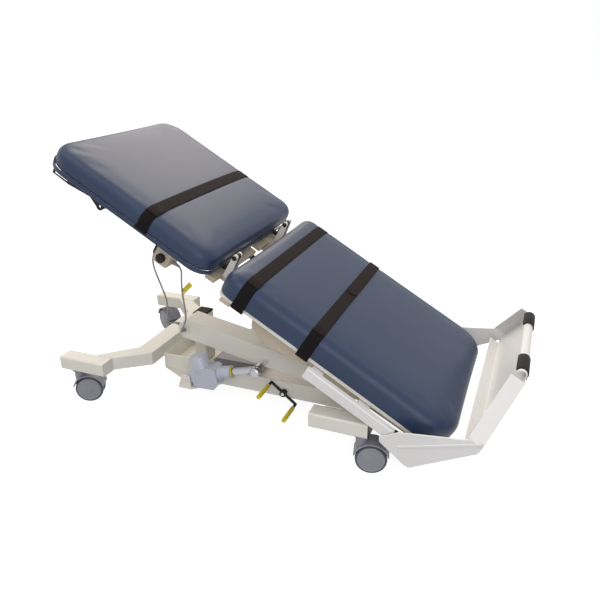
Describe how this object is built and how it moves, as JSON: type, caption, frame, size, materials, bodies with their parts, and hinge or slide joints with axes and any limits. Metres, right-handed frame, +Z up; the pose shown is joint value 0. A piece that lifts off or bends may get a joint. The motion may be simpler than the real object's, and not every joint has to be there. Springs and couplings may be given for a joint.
{
  "type": "tilting treatment table with a sliding footboard",
  "caption": "Tilting treatment table with back and leg cushions, straps, sliding footboard, electric lift arm and a wheeled base.",
  "frame": {"origin": "middle of the bounding box on the floor", "axes": "+X from the head end to the foot end, +Y to the far side of the picture, +Z up"},
  "size_m": [1.6136, 0.78, 0.9351],
  "materials": {
    "cream_paint": "satin powder coat",
    "white_paint": "satin powder coat",
    "beige_paint": "satin powder coat",
    "blue_vinyl": "upholstery vinyl, satin",
    "webbing": "woven webbing, matt",
    "black_plastic": "moulded, matt",
    "black_rubber": "moulded rubber, matt",
    "black_steel": "satin black paint",
    "grey_plastic": "moulded, matt",
    "actuator_plastic": "moulded, semi gloss",
    "bright_steel": "ground and plated",
    "yellow_plastic": "moulded, semi gloss",
    "tyre_rubber": "soft tread, matt",
    "cord_sheath": "grey sheath, matt"
  },
  "bodies": {
    "base": {"base_channel": "cream_paint", "head_legs": "cream_paint", "head_outriggers": "cream_paint", "foot_crossbar": "cream_paint", "foot_outriggers": "cream_paint", "tube_plugs": "black_plastic", "lift_post": "cream_paint", "post_cap": "black_rubber", "lift_axle": "bright_steel", "control_box": "grey_plastic", "actuator_bracket": "cream_paint"},
    "swivel_near_head": {"caster_housing_near_head": "grey_plastic"},
    "swivel_far_head": {"caster_housing_far_head": "grey_plastic"},
    "swivel_near_foot": {"caster_housing_near_foot": "grey_plastic"},
    "swivel_far_foot": {"caster_housing_far_foot": "grey_plastic"},
    "wheels_near_head": {"caster_tyres_near_head": "tyre_rubber", "caster_hubs_near_head": "grey_plastic"},
    "wheels_far_head": {"caster_tyres_far_head": "tyre_rubber", "caster_hubs_far_head": "grey_plastic"},
    "wheels_near_foot": {"caster_tyres_near_foot": "tyre_rubber", "caster_hubs_near_foot": "grey_plastic"},
    "wheels_far_foot": {"caster_tyres_far_foot": "tyre_rubber", "caster_hubs_far_foot": "grey_plastic"},
    "brake_near_foot": {"brake_lever_near_foot": "black_plastic"},
    "brake_far_foot": {"brake_lever_far_foot": "black_plastic"},
    "pedal": {"pedal_rod": "black_steel", "pedal_grips": "yellow_plastic"},
    "lift_arm": {"lift_beam": "cream_paint", "arm_cross_tube": "cream_paint", "lift_pin": "cream_paint", "arm_glands": "black_plastic", "motor_cord": "cord_sheath", "control_cord": "cord_sheath"},
    "lift_motor": {"lift_motor": "actuator_plastic"},
    "lift_rod": {"lift_rod": "bright_steel"},
    "tilt_motor": {"tilt_motor": "actuator_plastic"},
    "tilt_rod": {"tilt_rod": "bright_steel"},
    "top": {"top_rails": "beige_paint", "top_crossbars": "beige_paint", "top_side_plates": "beige_paint", "rest_bar": "beige_paint", "rest_bar_plugs": "black_plastic", "back_buffers": "black_rubber", "tilt_brackets": "beige_paint", "leg_deck": "cream_paint", "leg_cushion": "blue_vinyl", "leg_straps": "webbing", "leg_hinges": "cream_paint", "slide_rails": "white_paint"},
    "back": {"back_deck": "cream_paint", "back_cushion": "blue_vinyl", "back_strap": "webbing", "back_hinges": "black_steel", "head_brackets": "black_steel"},
    "strut_cylinder": {"strut_cylinder": "black_steel"},
    "strut_rod": {"strut_rod": "bright_steel"},
    "footboard": {"foot_plate": "white_paint", "footboard_arms": "white_paint", "slide_shoes": "black_plastic", "grip_pads": "black_rubber"}
  },
  "joints": [
    {"name": "swivel_near_head", "type": "hinge", "parent": "base", "child": "swivel_near_head", "pos_m": [-0.723, -0.315, 0.128], "axis": [0, 0, 1], "continuous": true},
    {"name": "wheels_near_head", "type": "hinge", "parent": "swivel_near_head", "child": "wheels_near_head", "pos_m": [-0.694, -0.30148, 0.05], "axis": [-0.4226, 0.9063, 0], "continuous": true},
    {"name": "swivel_far_head", "type": "hinge", "parent": "base", "child": "swivel_far_head", "pos_m": [-0.723, 0.315, 0.128], "axis": [0, 0, 1], "continuous": true},
    {"name": "wheels_far_head", "type": "hinge", "parent": "swivel_far_head", "child": "wheels_far_head", "pos_m": [-0.75071, 0.331, 0.05], "axis": [-0.5, -0.866, 0], "continuous": true},
    {"name": "swivel_near_foot", "type": "hinge", "parent": "base", "child": "swivel_near_foot", "pos_m": [0.35202, -0.34, 0.128], "axis": [0, 0, 1], "continuous": true},
    {"name": "wheels_near_foot", "type": "hinge", "parent": "swivel_near_foot", "child": "wheels_near_foot", "pos_m": [0.3832, -0.3328, 0.05], "axis": [-0.225, 0.9744, 0], "continuous": true},
    {"name": "brake_near_foot", "type": "hinge", "parent": "swivel_near_foot", "child": "brake_near_foot", "pos_m": [0.43386, -0.3211, 0.093], "axis": [-0.225, 0.9744, 0], "range_deg": [0, 15]},
    {"name": "swivel_far_foot", "type": "hinge", "parent": "base", "child": "swivel_far_foot", "pos_m": [0.35202, 0.34, 0.128], "axis": [0, 0, 1], "continuous": true},
    {"name": "wheels_far_foot", "type": "hinge", "parent": "swivel_far_foot", "child": "wheels_far_foot", "pos_m": [0.38353, 0.34556, 0.05], "axis": [-0.1736, 0.9848, 0], "continuous": true},
    {"name": "brake_far_foot", "type": "hinge", "parent": "swivel_far_foot", "child": "brake_far_foot", "pos_m": [0.43474, 0.35459, 0.093], "axis": [-0.1736, 0.9848, 0], "range_deg": [0, 15]},
    {"name": "pedal", "type": "hinge", "parent": "base", "child": "pedal", "pos_m": [0.03402, -0.196, 0.118], "axis": [0, -1, 0], "range_deg": [0, 70]},
    {"name": "lift", "type": "hinge", "parent": "base", "child": "lift_arm", "pos_m": [-0.368, 0, 0.262], "axis": [0, -1, 0], "range_deg": [0, 20]},
    {"name": "tilt", "type": "hinge", "parent": "lift_arm", "child": "top", "pos_m": [0.16822, 0, 0.16455], "axis": [0, -1, 0], "range_deg": [0, 30], "deforming": ["motor_cord", "control_cord"]},
    {"name": "back", "type": "hinge", "parent": "top", "child": "back", "pos_m": [-0.11459, 0, 0.59572], "axis": [0, 1, 0], "range_deg": [0, 60]},
    {"name": "footboard", "type": "slide", "parent": "top", "child": "footboard", "axis": [-0.866, 0, 0.5], "range_m": [0, 0.28]},
    {"name": "lift_motor", "type": "hinge", "parent": "base", "child": "lift_motor", "pos_m": [-0.328, -0.2, 0.115], "axis": [0, -1, 0], "range_deg": [0, 19]},
    {"name": "lift_rod", "type": "slide", "parent": "lift_motor", "child": "lift_rod", "axis": [0.9593, 0, 0.2825], "range_m": [0, 0.0541]},
    {"name": "tilt_motor", "type": "hinge", "parent": "lift_arm", "child": "tilt_motor", "pos_m": [-0.11022, 0, 0.21515], "axis": [0, -1, 0], "range_deg": [0, 8.09]},
    {"name": "tilt_rod", "type": "slide", "parent": "tilt_motor", "child": "tilt_rod", "axis": [0.9996, 0, 0.027], "range_m": [-0.0402, 0]},
    {"name": "strut_cylinder", "type": "hinge", "parent": "top", "child": "strut_cylinder", "pos_m": [-0.13719, 0.06, 0.45058], "axis": [0, 1, 0], "range_deg": [0, 34.14]},
    {"name": "strut_rod", "type": "slide", "parent": "strut_cylinder", "child": "strut_rod", "axis": [-0.7545, 0, 0.6563], "range_m": [0, 0.1072]}
  ],
  "couplings": [
    {"joint": "lift_motor", "follows": "lift", "ratio": 0.92488},
    {"joint": "lift_rod", "follows": "lift", "m_per_rad": 0.14914},
    {"joint": "tilt_motor", "follows": "tilt", "ratio": 0.25286},
    {"joint": "tilt_rod", "follows": "tilt", "m_per_rad": -0.073041},
    {"joint": "strut_cylinder", "follows": "back", "ratio": 0.56067},
    {"joint": "strut_rod", "follows": "back", "m_per_rad": 0.10045}
  ]
}
